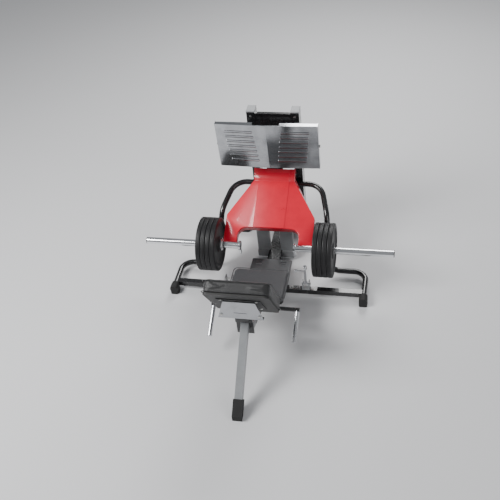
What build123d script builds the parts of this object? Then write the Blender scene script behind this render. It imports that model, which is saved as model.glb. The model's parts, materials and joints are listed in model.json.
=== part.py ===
"""Plate-loaded hip thrust machine: a bent tube base, a red fork lever that carries the load, a seat, a
reclined back pad on a rear strut, and a tilting steel foot plate on a tower.

Millimetres, +Z up, +X to the user's right, +Y from the back pad towards the foot plate.
The layout is drawn from the load bar's axis (y = 0 on the bar), and send() moves each finished node so
that the origin is the middle of the footprint, on the floor.
"""
from build123d import *
from math import atan2, cos, degrees, hypot, radians, sin, sqrt, tan
import os

os.makedirs("parts", exist_ok=True)

# ---- driving dimensions -------------------------------------------------------------------------
rear_end = -1265.0           # rear face of the strut's foot
front_end = 690.0            # front face of the front feet
centre_y = -(rear_end + front_end) / 2.0

bar_z = 360.0                # load bar axis above the floor, lever at rest
bar_half = 900.0             # outer end of each sleeve from the middle
sleeve_r = 25.0              # 50 mm sleeves
stub_inner = 192.0           # inner end of each stub, beside the user's hips
leg_inner = 225.0
leg_outer = 325.0
leg_mid = (leg_inner + leg_outer) / 2.0

pivot_y = 530.0              # lever pivot
pivot_z = 745.0
lever_slope = 27.7           # degrees, rise of the fork from the bar to the bend of its neck
bend_v = 516.0               # bar axis to neck bend, along the fork

plate_r = 195.0              # 390 mm weight plates
plate_t = 34.0
plate_gap = 1.0
plates_per_side = 4
plate_bore_r = sleeve_r + 0.6

hoop_r = 21.0                # base hoop tube
hoop_wall = 3.0
foot_x = 700.0               # middle of each rear foot run
foot_rear = -165.0
floor_tube_z = 50.0
boot_front = -122.0          # front end of each rear foot, behind the crossbar

post_x = 160.0               # tower posts
post_front = 570.0
post_rear = 650.0
post_top = 1125.0
rail_low = 30.0              # underside and top of the floor-level beams
rail_high = 90.0
crossbar_y = -100.0

foot_axis_y = 352.0          # tilt axis of the foot plate
foot_axis_z = 1005.0
foot_plate_low = 815.0
foot_plate_high = 1185.0
foot_plate_half = 358.0
foot_plate_lean = 4.5        # degrees, top towards the user
sheet_t = 4.0

seat_half = 200.0
seat_front = -204.0
seat_rear = -500.0
seat_top = 345.0

pad_half = 215.0             # back pad
pad_top_front = (-850.0, 850.0)
pad_lean = 33.0              # degrees from upright
pad_length = 478.0
pad_t = 86.0
board_t = 14.0
pad_axis_y = -800.0
pad_axis_z = 520.0

shroud_y = -864.0            # steel plate behind the pad's hinge
shroud_low = 530.0
shroud_high = 670.0
shroud_low_half = 146.0
shroud_top_half = 103.0

beam_start = (-60.0, 82.0)   # seat beam, from the crossbar up to the rear plate
beam_end = (-786.0, 352.0)
strut_top = (-775.0, 418.0)
strut_foot = (-1222.0, 40.0)

parts = {}
frame_bolts = []             # fasteners of the fixed frame, gathered into one node


# ---- helpers ------------------------------------------------------------------------------------
def send(name, shape):
    """Keeps a finished node; it is written with the footprint's middle at the origin."""
    parts[name] = Pos(0, centre_y, 0) * shape


def block(x, y, z):
    """A box from three (low, high) pairs."""
    size = [high - low for low, high in (x, y, z)]
    middle = [(high + low) / 2.0 for low, high in (x, y, z)]
    return Pos(*middle) * Box(*size)


def rod_x(y, z, x_low, x_high, radius):
    """A round bar along X."""
    return Pos((x_low + x_high) / 2.0, y, z) * Rot(0, 90, 0) * Cylinder(radius, x_high - x_low)


def rod_z(x, y, z_low, z_high, radius):
    return Pos(x, y, (z_low + z_high) / 2.0) * Cylinder(radius, z_high - z_low)


def slope_plane(start, end, x=0.0):
    """A plane at start, in the YZ plane's direction towards end: its Z runs along the member."""
    direction = (0, end[0] - start[0], end[1] - start[1])
    return Plane(origin=(x, start[0], start[1]), x_dir=(1, 0, 0), z_dir=direction)


def rect_member(start, end, width, depth, wall=0.0, x=0.0):
    """A rectangular tube or bar between two (y, z) points."""
    length = hypot(end[0] - start[0], end[1] - start[1])
    profile = Rectangle(width, depth)
    if wall:
        profile -= Rectangle(width - 2 * wall, depth - 2 * wall)
    return extrude(slope_plane(start, end, x) * profile, length)


def mirrored(shape):
    return mirror(shape, Plane.YZ)


def both(shape):
    """The shape and its mirror image, as one group of separate solids."""
    return Compound(children=[shape, mirrored(shape)])


def lever_point(v, n):
    """(y, z) of a point v along the fork from the bar axis and n above its middle plane."""
    slope = radians(lever_slope)
    return (v * cos(slope) - n * sin(slope), bar_z + v * sin(slope) + n * cos(slope))


lever_plane = Plane(origin=(0, 0, bar_z), x_dir=(1, 0, 0),
                    z_dir=(0, -sin(radians(lever_slope)), cos(radians(lever_slope))))
bend = lever_point(bend_v, 0)
neck_length = hypot(pivot_y - bend[0], pivot_z - bend[1])
neck_angle = atan2(pivot_z - bend[1], pivot_y - bend[0])


def neck_point(distance, n):
    """(y, z) of a point up the neck from the bend and n above its middle plane."""
    return (bend[0] + distance * cos(neck_angle) - n * sin(neck_angle),
            bend[1] + distance * sin(neck_angle) + n * cos(neck_angle))


# ---- base ---------------------------------------------------------------------------------------
def hoop_path():
    """One tube: rear foot, out-swept floor run, up beside the lever, across in front of the tower."""
    half = [(foot_x, foot_rear, floor_tube_z), (foot_x, 125, floor_tube_z), (425, 125, floor_tube_z),
            (395, 320, 420), (330, post_front - hoop_r - 0.3, 520)]
    left = [(-x, y, z) for x, y, z in reversed(half)]
    return FilletPolyline(*half, *left, radius=[90, 85, 150, 125, 125, 150, 85, 90])


def make_base():
    path = hoop_path()
    start = Plane(origin=path @ 0, z_dir=path % 0)
    hoop_solid = sweep(start * Circle(hoop_r), path=path)
    hoop_bore = sweep(start * Circle(hoop_r - hoop_wall), path=path)
    send("base_hoop", hoop_solid - hoop_bore)

    boot = block((foot_x - 30, foot_x + 30), (foot_rear - 22, boot_front), (0, 58))
    boot = fillet(boot.edges().filter_by(Axis.Z), 12)
    boot_length = boot_front - (foot_rear - 22)
    boot += Pos(foot_x, boot_front - boot_length / 2.0, floor_tube_z) * Rot(90, 0, 0) * Cylinder(
        29, boot_length)
    boot &= block((0, 1000), (-1000, 1000), (0, 200))
    send("rear_feet", both(boot - hoop_solid))

    crossbar = block((-foot_x, foot_x), (crossbar_y - 20, crossbar_y + 20), (rail_low, rail_high - 20))
    crossbar -= block((-foot_x, foot_x), (crossbar_y - 16, crossbar_y + 16),
                      (rail_low + 4, rail_high - 24))
    crossbar -= both(hoop_solid)
    crossbar &= block((-foot_x + 12, foot_x - 12), (-500, 500), (0, 200))
    crossbar_solid = block((-foot_x, foot_x), (crossbar_y - 20, crossbar_y + 20),
                           (rail_low, rail_high - 20))
    send("rear_crossbar", crossbar)

    spine = block((-50, 50), (crossbar_y + 20, post_front + 10), (rail_low, rail_high))
    spine -= block((-46, 46), (crossbar_y + 20, post_front + 10), (rail_low + 4, rail_high - 4))
    send("spine_beam", spine)

    front = block((-330, 330), (post_front + 10, post_rear - 10), (rail_low, rail_high))
    front -= block((-330, 330), (post_front + 14, post_rear - 14), (rail_low + 4, rail_high - 4))
    send("front_crossbar", front)
    shoe = block((270, 345), (post_front - 10, front_end), (0, 30))
    send("front_feet", both(fillet(shoe.edges().filter_by(Axis.Z), 14)))
    return crossbar_solid


# ---- tower --------------------------------------------------------------------------------------
def make_tower():
    post = block((post_x - 30, post_x + 30), (post_front, post_rear), (rail_high, post_top))
    post -= block((post_x - 26, post_x + 26), (post_front + 4, post_rear - 4), (rail_high, post_top))
    send("tower_post_right", post)
    send("tower_post_left", mirrored(post))

    cap = block((post_x - 31, post_x + 31), (post_front - 1, post_rear + 1), (post_top, post_top + 10))
    cap = fillet(cap.edges().group_by(Axis.Z)[-1], 4)
    cap += block((post_x - 25, post_x + 25), (post_front + 5, post_rear - 5),
                 (post_top - 25, post_top))
    plug = block((330, 336), (post_front + 10, post_rear - 10), (rail_low, rail_high))
    plug = fillet(plug.edges().filter_by(Axis.X), 4)
    send("tube_caps", Compound(children=[cap, mirrored(cap), plug, mirrored(plug)]))

    rails = []
    for low in (330.0, 1040.0):
        rail = block((-post_x + 30, post_x - 30), (post_front + 15, post_rear - 15), (low, low + 50))
        rail -= block((-post_x + 30, post_x - 30), (post_front + 19, post_rear - 19), (low + 4, low + 46))
        rails.append(rail)
    send("tower_rails", Compound(children=rails))

    panel = block((-post_x - 28, post_x + 28), (post_front - 3, post_front), (840, post_top - 8))
    panel = fillet(panel.edges().filter_by(Axis.Y), 10)
    for x in (-post_x, post_x):
        for z in (860.0, post_top - 30):
            panel -= Pos(x, post_front - 1.5, z) * Rot(90, 0, 0) * Cylinder(4.2, 20)
    send("tower_panel", panel)
    screws = []
    for x in (-post_x, post_x):
        for z in (860.0, post_top - 30):
            head = Pos(x, post_front - 5, z) * Rot(90, 0, 0) * Cylinder(7, 4)
            shank = Pos(x, post_front - 2, z) * Rot(90, 0, 0) * Cylinder(4, 4)
            screws.append(head + shank)
    frame_bolts.extend(screws)


# ---- pivot --------------------------------------------------------------------------------------
shaft_r = 15.0
housing_inner = 112.0
housing_outer = 172.0


def make_pivot():
    housing = block((housing_inner, housing_outer), (pivot_y - 2, post_front), (pivot_z - 45, pivot_z + 45))
    housing += rod_x(pivot_y, pivot_z, housing_inner, housing_outer, 38)
    housing -= rod_x(pivot_y, pivot_z, housing_inner - 1, housing_outer + 1, 31)
    send("pivot_housings", both(housing))

    race = rod_x(pivot_y, pivot_z, housing_inner + 6, housing_outer - 6, 31)
    race -= rod_x(pivot_y, pivot_z, housing_inner, housing_outer, shaft_r + 0.05)
    send("pivot_bearings", both(race))

    shaft = rod_x(pivot_y, pivot_z, -housing_outer - 4, housing_outer + 4, shaft_r)
    send("pivot_shaft", shaft)
    disc = rod_x(pivot_y, pivot_z, housing_outer + 4, housing_outer + 10, 30)
    disc += Pos(housing_outer + 13, pivot_y, pivot_z) * Rot(0, 90, 0) * extrude(
        RegularPolygon(11, 6), 3, both=True)
    frame_bolts.extend([disc, mirrored(disc)])


# ---- lever --------------------------------------------------------------------------------------
cover_top = 38.0             # heights over the fork's middle plane
frame_top = 8.0              # the welded frame stays low inside the cover
cover_low = -34.0
cover_t = 4.0
neck_half = 152.0
arch_half = 164.0
arch_v = 136.0
shoulder_v = 232.0
groove_x = leg_outer + 20 + plates_per_side * (plate_t + plate_gap) + 1   # spring collar's groove
groove_w = 2.0
cover_tip = 18.0             # the legs end on the far side of the bar, which stays in view


def cover_outline(inset):
    """Half the fork cover's outline on the lever plane, mirrored: legs, arch, shoulders and neck."""
    outer = leg_outer - inset
    inner = leg_inner + inset
    neck = neck_half - inset
    low = cover_tip - inset              # the shell is open at the legs' tips
    arch = arch_v + inset
    radius = inner - arch_half
    half_root = sqrt(0.5)
    right = [(outer, low), (outer, shoulder_v), (neck, bend_v), (0, bend_v)]
    left_end = [(0, arch), (arch_half, arch)]
    with BuildSketch() as half:
        with BuildLine():
            Polyline(*left_end)
            ThreePointArc((arch_half, arch),
                          (arch_half + radius * half_root, arch - radius + radius * half_root),
                          (inner, arch - radius))
            Line((inner, arch - radius), (inner, low))
            Line((inner, low), right[0])
            Polyline(*right)
            Line(right[-1], left_end[0])
        make_face()
    return half.sketch + mirror(half.sketch, Plane.YZ)


def fork_slab(inset, n_low, n_high):
    """The outline as a slab between two heights over the lever plane."""
    low_plane = lever_plane.offset(n_low)
    return extrude(low_plane * cover_outline(inset), n_high - n_low)


def neck_slab(inset, n_low, n_high, length):
    """The upward neck beyond the bend."""
    start = neck_point(0, (n_low + n_high) / 2.0)
    end = neck_point(length, (n_low + n_high) / 2.0)
    return rect_member(start, end, 2 * (neck_half - inset), n_high - n_low)


def make_lever():
    outer = fork_slab(0, cover_low, cover_top) + neck_slab(0, cover_low, cover_top, 104)
    knee = rod_x(*lever_point(bend_v, 0), -neck_half, neck_half, -cover_low)
    outer += knee
    bevel_edges = [e for e in outer.edges() if e.length > 150 and abs(
        (e.center().Y * -sin(radians(lever_slope)) + (e.center().Z - bar_z) * cos(radians(lever_slope)))
        - cover_top) < 1.0 and abs(e.center().X) > 200]
    outer = chamfer(bevel_edges, 16)
    inner = fork_slab(cover_t, cover_low - 1, cover_top - cover_t)
    inner += neck_slab(cover_t, cover_low - 1, cover_top - cover_t, 110)
    inner += rod_x(*lever_point(bend_v, 0), -neck_half + cover_t, neck_half - cover_t,
                   -cover_low + 2)
    cover = outer - inner
    for side in (-1, 1):
        cover -= rod_x(0, bar_z, side * leg_mid - 80, side * leg_mid + 80, sleeve_r + 0.5)
    send("lever_cover", cover)

    low = cover_low + 6
    depth = frame_top - low
    mid = (frame_top + low) / 2.0
    legs = rect_member(lever_point(6, mid), lever_point(shoulder_v - 20, mid), 70, depth, 4, leg_mid)
    legs += mirrored(legs)
    yoke_start = lever_point(arch_v + 10, mid)
    yoke_end = lever_point(arch_v + 80, mid)
    yoke = rect_member(yoke_start, yoke_end, 2 * (leg_mid - 35), depth - 2)
    arm = rect_member(lever_point(arch_v + 80, mid), lever_point(bend_v + 4, mid), 120, depth, 5)
    neck = rect_member(neck_point(-14, mid), neck_point(neck_length - 24, 0), 120, depth - 6, 5)
    hub = rod_x(pivot_y, pivot_z, -housing_inner + 4, housing_inner - 4, 30)
    frame = legs + yoke + arm + neck + hub
    frame -= rod_x(pivot_y, pivot_z, -200, 200, shaft_r + 3)
    frame -= rod_x(0, bar_z, -400, 400, sleeve_r)
    send("lever_frame", frame)
    bush = rod_x(pivot_y, pivot_z, 30, housing_inner - 4, shaft_r + 3)
    bush -= rod_x(pivot_y, pivot_z, 0, 200, shaft_r + 0.05)
    send("hub_bushes", both(bush))

    spots = [(leg_outer, lever_point(62, 0)), (leg_outer, lever_point(196, 0)),
             (neck_half, neck_point(60, 0))]
    screws = [rod_x(*place, wall, wall + 3, 6.5) for wall, place in spots]
    screws += [mirrored(screw) for screw in screws]
    send("cover_screws", Compound(children=screws))

    for side, name in ((1, "right"), (-1, "left")):
        ends = sorted((side * stub_inner, side * bar_half))
        sleeve = rod_x(0, bar_z, ends[0], ends[1], sleeve_r)
        bore = sorted((side * (bar_half - 60), side * bar_half))
        sleeve -= rod_x(0, bar_z, bore[0], bore[1], sleeve_r - 6)
        groove = sorted((side * groove_x, side * (groove_x + groove_w)))
        ring = rod_x(0, bar_z, groove[0], groove[1], sleeve_r + 1)
        sleeve -= ring - rod_x(0, bar_z, groove[0], groove[1], sleeve_r - 0.8)
        send("sleeve_" + name, sleeve)
    cap = rod_x(0, bar_z, bar_half, bar_half + 5, sleeve_r - 0.2)
    cap = fillet(cap.edges().group_by(Axis.X)[-1], 3)
    cap += rod_x(0, bar_z, bar_half - 40, bar_half, sleeve_r - 6)
    send("sleeve_caps", both(cap))
    collar = rod_x(0, bar_z, leg_outer + 4, leg_outer + 18, 45)
    collar = chamfer(collar.edges(), 3)
    collar -= rod_x(0, bar_z, 0, bar_half, sleeve_r)
    send("sleeve_flanges", both(collar))


def weight_plate(x_low, side):
    """A ribbed rubber-coated plate: thick rim, thinner web, hub and bore."""
    low, high = x_low, x_low + plate_t
    disc = rod_x(0, bar_z, low, high, plate_r)
    disc = fillet(disc.edges(), 5)
    for face_low, face_high in ((low - 1, low + 7), (high - 7, high + 1)):
        recess = rod_x(0, bar_z, face_low, face_high, plate_r - 38)
        recess -= rod_x(0, bar_z, face_low - 1, face_high + 1, 62)
        disc -= recess
    disc -= rod_x(0, bar_z, low - 1, high + 1, plate_bore_r)
    return disc if side > 0 else mirrored(disc)


def make_plates():
    for side, name in ((1, "right"), (-1, "left")):
        for number in range(plates_per_side):
            x_low = leg_outer + 20 + number * (plate_t + plate_gap)
            send("weight_plate_%s_%d" % (name, number + 1), weight_plate(x_low, side))


def make_clips():
    """Belt clips: a ring on the end of each inner stub and a shackle that swivels on it."""
    for side, name in ((1, "right"), (-1, "left")):
        low, high = sorted((side * (stub_inner + 2), side * (stub_inner + 16)))
        eye = rod_x(0, bar_z, low, high, sleeve_r + 10)
        eye -= rod_x(0, bar_z, low - 1, high + 1, sleeve_r + 0.4)
        tongue = block((low, high), (-11, 11), (bar_z - 66, bar_z - sleeve_r - 4))
        tongue += rod_x(0, bar_z - 66, low, high, 11)
        tongue -= rod_x(0, bar_z - 66, low - 1, high + 1, 6)
        tongue -= rod_x(0, bar_z, low - 1, high + 1, sleeve_r + 0.4)
        send("belt_clip_" + name, eye + tongue)


# ---- stops and lock -----------------------------------------------------------------------------
stop_y = 290.0
stop_inner = 38.0
stop_outer = 138.0


def lever_under(y):
    """Height of the fork frame's underside at a given y."""
    slope = radians(lever_slope)
    return bar_z + y * tan(slope) + (cover_low + 6) / cos(slope)


def make_stops():
    post = block((stop_inner, stop_outer), (stop_y - 20, stop_y + 20), (rail_high, 330))
    post -= block((-52, 52), (stop_y - 30, stop_y + 30), (0, rail_high))
    post = fillet(post.edges().filter_by(Axis.Z), 8)
    foot = block((50, stop_outer), (stop_y - 30, stop_y + 30), (rail_low + 10, rail_high))
    foot += block((50, stop_outer), (stop_y - 30, stop_y + 30), (rail_low, rail_low + 10))
    post += foot
    send("stop_posts", both(post))

    buffer = rod_z(56, stop_y, 330, lever_under(stop_y) + 20, 17)
    roof = lever_plane.offset(cover_low + 6 - 0.4) * Pos(0, 400, 100) * Box(800, 1600, 200)
    send("stop_buffers", both(buffer - roof))


lock_x = 285.0
lock_axis_z = 118.0


def make_lock():
    bracket = block((lock_x - 28, lock_x - 20), (crossbar_y - 20, crossbar_y + 20), (rail_high - 20, 140))
    bracket += block((lock_x + 20, lock_x + 28), (crossbar_y - 20, crossbar_y + 20), (rail_high - 20, 140))
    bracket += block((lock_x - 28, lock_x + 28), (crossbar_y - 20, crossbar_y + 20),
                     (rail_high - 20, rail_high - 14))
    bracket -= rod_x(crossbar_y, lock_axis_z, lock_x - 40, lock_x + 40, 6.05)
    send("lock_brackets", both(bracket))
    pin = rod_x(crossbar_y, lock_axis_z, lock_x - 31, lock_x + 31, 6)
    pin += rod_x(crossbar_y, lock_axis_z, lock_x + 28.3, lock_x + 34, 9)
    send("lock_pins", both(pin))

    arm = block((lock_x - 9, lock_x + 9), (crossbar_y - 11, crossbar_y + 11), (lock_axis_z, 262))
    arm += rod_x(crossbar_y, lock_axis_z, lock_x - 19, lock_x + 19, 13)
    arm -= rod_x(crossbar_y, lock_axis_z, lock_x - 30, lock_x + 30, 6.06)
    arm += rod_z(lock_x, crossbar_y, 260, 285, 12)
    arm += rod_x(crossbar_y, 236, lock_x - 60, lock_x - 5, 7)
    grip = rod_x(crossbar_y, 236, lock_x - 80, lock_x - 58, 12)
    arm += fillet(grip.edges(), 5)
    send("lock_lever", arm)


# ---- seat ---------------------------------------------------------------------------------------
def make_seat(crossbar_solid):
    beam = rect_member(beam_start, beam_end, 80, 62, 4)
    beam_solid = rect_member(beam_start, beam_end, 80, 62)
    beam -= crossbar_solid
    beam -= block((-60, 60), (crossbar_y + 20, 100), (0, 200))
    beam &= block((-100, 100), (plate_y, 200), (rail_low, 1000))
    send("seat_beam", beam + pad_clevis())

    frame = block((-150, 150), (seat_rear + 40, seat_front - 30), (276, 284))
    for y_low, y_high in ((-440.0, -425.0), (-280.0, -265.0)):
        leg = block((-34, 34), (y_low, y_high), (150, 276))
        frame += leg
    frame -= beam_solid
    frame &= block((-200, 200), (-600, 0), (165, 300))
    frame = Compound(children=[s for s in frame.solids() if s.bounding_box().max.Z > 270])
    for x in (-110, 110):
        for y in (-430, -270):
            frame -= rod_z(x, y, 270, 290, 4.2)
    send("seat_frame", frame)
    board = block((-seat_half + 12, seat_half - 12), (seat_rear + 12, seat_front - 12), (284, 296))
    send("seat_board", fillet(board.edges().filter_by(Axis.Z), 24))
    pad = block((-seat_half, seat_half), (seat_rear, seat_front), (296, seat_top))
    pad = fillet(pad.edges().filter_by(Axis.Z), 34)
    pad = fillet(pad.edges().group_by(Axis.Z)[-1], 18)
    send("seat_pad", pad)
    bolts = []
    for x in (-110, 110):
        for y in (-430, -270):
            bolts.append(rod_z(x, y, 269, 276, 8) + rod_z(x, y, 276, 284, 4))
    frame_bolts.extend(bolts)


tongue_half = 150.0
tongue_top = 132.0
slot_length = 46.0
slot_width = 7.0


def make_tongue():
    """A grey sheet cover over the spine, with two pairs of grip slots across it."""
    outer = block((-tongue_half, tongue_half), (-72, 118), (rail_high + 2, tongue_top))
    outer = fillet(outer.edges().filter_by(Axis.Y), 10)
    inner = block((-tongue_half + 3, tongue_half - 3), (-69, 115), (rail_high - 10, tongue_top - 3))
    cover = outer - inner
    for y in (62.0, 88.0):
        for x in (-92.0, 92.0):
            slot = Pos(x, y, tongue_top) * extrude(SlotOverall(slot_length, slot_width), 10, both=True)
            cover -= slot
    send("tongue_cover", cover)


# ---- rear plate, strut and handles --------------------------------------------------------------
plate_y = beam_end[0] - 6
joint_low = 322.0            # end plate between the seat beam and the strut
joint_high = 470.0


def pad_clevis():
    """The end plate over the seat beam, and two cheeks on it that hold the back pad's hinge pin."""
    clevis = block((-56, 56), (plate_y - 8, plate_y), (joint_low, joint_high))
    clevis += block((-44, 44), (plate_y - 24, plate_y - 8), (joint_high - 34, joint_high - 4))
    for x in (-50, 50):
        cheek = block((x - 6, x + 6), (plate_y - 24, plate_y - 8), (joint_high - 34, pad_axis_z - 4))
        clevis += cheek + rod_x(pad_axis_y, pad_axis_z, x - 6, x + 6, 18)
    return clevis - rod_x(pad_axis_y, pad_axis_z, -100, 100, 8)


def make_rear():
    strut = rect_member(strut_top, strut_foot, 50, 50, 3)
    strut &= block((-100, 100), (rear_end, plate_y - 8), (0, 1000))
    strut_solid = rect_member(strut_top, strut_foot, 50, 50)
    send("rear_strut", strut)
    boot = rect_member((strut_foot[0] + 62, strut_foot[1] + 52), (strut_foot[0] - 60, strut_foot[1] - 51),
                       62, 62)
    boot &= block((-60, 60), (rear_end, -1100), (0, 200))
    boot = boot - strut_solid
    boot = Compound(children=[max(boot.solids(), key=lambda s: s.volume)])
    send("strut_foot", boot)


handle_x = 290.0
handle_front = (-505.0, 262.0)
handle_rear = (-700.0, 158.0)


def make_handles():
    bar = rod_x(handle_front[0], handle_front[1], -handle_x - 16, handle_x + 16, 14)
    beam_solid = rect_member(beam_start, beam_end, 80, 62)
    bar -= beam_solid
    outboard = [s for s in bar.solids() if abs(s.center().X) > 60]
    send("handle_crossbar", Compound(children=outboard))
    for side, name in ((1, "right"), (-1, "left")):
        direction = Vector(0, handle_rear[0] - handle_front[0], handle_rear[1] - handle_front[1])
        unit = direction.normalized()
        start = Vector(side * handle_x, *handle_front) + unit * 14.2
        grip = Plane(origin=start, x_dir=(1, 0, 0), z_dir=unit) * Pos(0, 0, 103) * Cylinder(15, 206)
        knob = Plane(origin=start + unit * 206, x_dir=(1, 0, 0), z_dir=unit) * Pos(0, 0, 3) * Cylinder(18, 6)
        cut = rod_x(handle_front[0], handle_front[1], -handle_x - 40, handle_x + 40, 14)
        send("handle_" + name, (grip + knob) - cut)


# ---- back pad -----------------------------------------------------------------------------------
def pad_frame_plane():
    """Origin at the top front edge: X across, Y down the front face, Z into the pad."""
    lean = radians(pad_lean)
    return Plane(origin=(0, *pad_top_front), x_dir=(1, 0, 0),
                 z_dir=(0, -cos(lean), -sin(lean)))


def make_rear_plate(behind):
    """The steel plate that hangs behind the pad's hinge, on two webs; gives back its corner bolts."""
    face = Plane(origin=(0, shroud_y, 0), x_dir=(1, 0, 0), z_dir=(0, -1, 0))
    outline = Polygon((-shroud_low_half, shroud_low), (shroud_low_half, shroud_low),
                      (shroud_top_half, shroud_high), (-shroud_top_half, shroud_high), align=None)
    plate = extrude(face * outline, sheet_t)
    lip = block((-shroud_low_half, shroud_low_half), (shroud_y - sheet_t, shroud_y + 20),
                (shroud_low - sheet_t, shroud_low))
    plate += lip
    section = Polygon((shroud_y, shroud_high), (shroud_y, shroud_low), (shroud_y + 110, shroud_low + 40),
                      (shroud_y + 60, shroud_high), align=None)
    for x in (-96, 96):
        web = extrude(Plane(origin=(x - 3, 0, 0), x_dir=(0, 1, 0), z_dir=(1, 0, 0)) * section, 6)
        plate += web & behind
    bolts = []
    for x, z in ((-122, shroud_low + 26), (122, shroud_low + 26)):
        plate -= Pos(x, shroud_y, z) * Rot(90, 0, 0) * Cylinder(5.5, 30)
        head = Pos(x, shroud_y - sheet_t - 3, z) * Rot(90, 0, 0) * extrude(RegularPolygon(9, 6), 3, both=True)
        shank = Pos(x, shroud_y - sheet_t / 2.0, z) * Rot(90, 0, 0) * Cylinder(5, sheet_t)
        bolts.append(head + shank)
    send("rear_plate", plate)
    badge = block((-42, 42), (shroud_y - sheet_t - 2, shroud_y - sheet_t), (shroud_low + 8, shroud_low + 46))
    send("blank_badge", fillet(badge.edges().filter_by(Axis.Y), 4))
    return bolts


def make_back_pad():
    plane = pad_frame_plane()
    down = -1 if plane.y_dir.Z > 0 else 1
    mid = down * pad_length / 2.0

    def slab(half, trim, z_low, z_high):
        return plane * Pos(0, mid, (z_low + z_high) / 2.0) * Box(2 * half, pad_length - 2 * trim,
                                                                z_high - z_low)

    normal_axis = Axis((0, 0, 0), tuple(plane.z_dir))
    pad = slab(pad_half, 0, 0, pad_t)
    pad = fillet(pad.edges().filter_by(normal_axis), 36)
    pad = fillet(pad.edges().group_by(normal_axis)[0], 22)
    send("back_pad", pad)
    board = slab(pad_half - 10, 10, pad_t, pad_t + board_t)
    send("back_board", fillet(board.edges().filter_by(normal_axis), 26))

    rear_face = pad_t + board_t
    hinge_v = down * ((pad_top_front[1] - pad_axis_z) * cos(radians(pad_lean))
                      - (pad_top_front[0] - pad_axis_y) * sin(radians(pad_lean)))
    plate = plane * Pos(0, hinge_v - down * 72, rear_face + 3) * Box(280, 244, 6)
    for x in (-114, 114):
        for offset in (-178.0, 20.0):
            plate -= plane * Pos(x, hinge_v + down * offset, rear_face + 3) * Cylinder(4.2, 20)
    ears = None
    for x in (-64, 64):
        ear = plane * Pos(x, hinge_v, rear_face + 6 + 16) * Box(8, 56, 34)
        ear += rod_x(pad_axis_y, pad_axis_z, x - 4, x + 4, 20)
        ears = ear if ears is None else ears + ear
    keep = plane * Pos(0, 0, rear_face + 250) * Box(2000, 3000, 500)
    hinge_frame = plate + (ears & keep)
    hinge_frame -= rod_x(pad_axis_y, pad_axis_z, -100, 100, 8.05)
    send("pad_hinge_frame", hinge_frame)
    bolts = []
    for x in (-114, 114):
        for offset in (-178.0, 20.0):
            spot = plane * Pos(x, hinge_v + down * offset, 0)
            bolts.append(spot * Pos(0, 0, rear_face + 8.5) * Cylinder(8, 5)
                         + spot * Pos(0, 0, rear_face + 3) * Cylinder(4, 6))
    bolts.extend(make_rear_plate(plane * Pos(0, 0, rear_face + 6 + 250) * Box(2000, 3000, 500)))
    send("pad_bolts", Compound(children=bolts))

    pin = rod_x(pad_axis_y, pad_axis_z, -76, 76, 8)
    pin += rod_x(pad_axis_y, pad_axis_z, 70, 77, 12)
    pin += rod_x(pad_axis_y, pad_axis_z, -77, -70, 12)
    send("pad_hinge_pin", pin)


# ---- foot plate ---------------------------------------------------------------------------------
slot_r = 88.0                # the clamp's stud runs in a slot round the tilt axis
slot_angle = 22.0
clamp_point = (foot_axis_y + slot_r * sin(radians(slot_angle)),
               foot_axis_z + slot_r * cos(radians(slot_angle)))


def clamp_tab():
    """The fixed tab that the clamp knob pulls the sector against."""
    y, z = clamp_point
    tab = block((-80, -74), (foot_axis_y + 22, foot_axis_y + 50), (foot_axis_z + 20, z + 14))
    return tab - rod_x(y, z, -90, -60, 6)


def foot_plane():
    """Origin on the tilt axis: X across, Y up the plate, Z towards the user."""
    lean = radians(foot_plate_lean)
    return Plane(origin=(0, foot_axis_y, foot_axis_z), x_dir=(1, 0, 0), z_dir=(0, -cos(lean), -sin(lean)))


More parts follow.
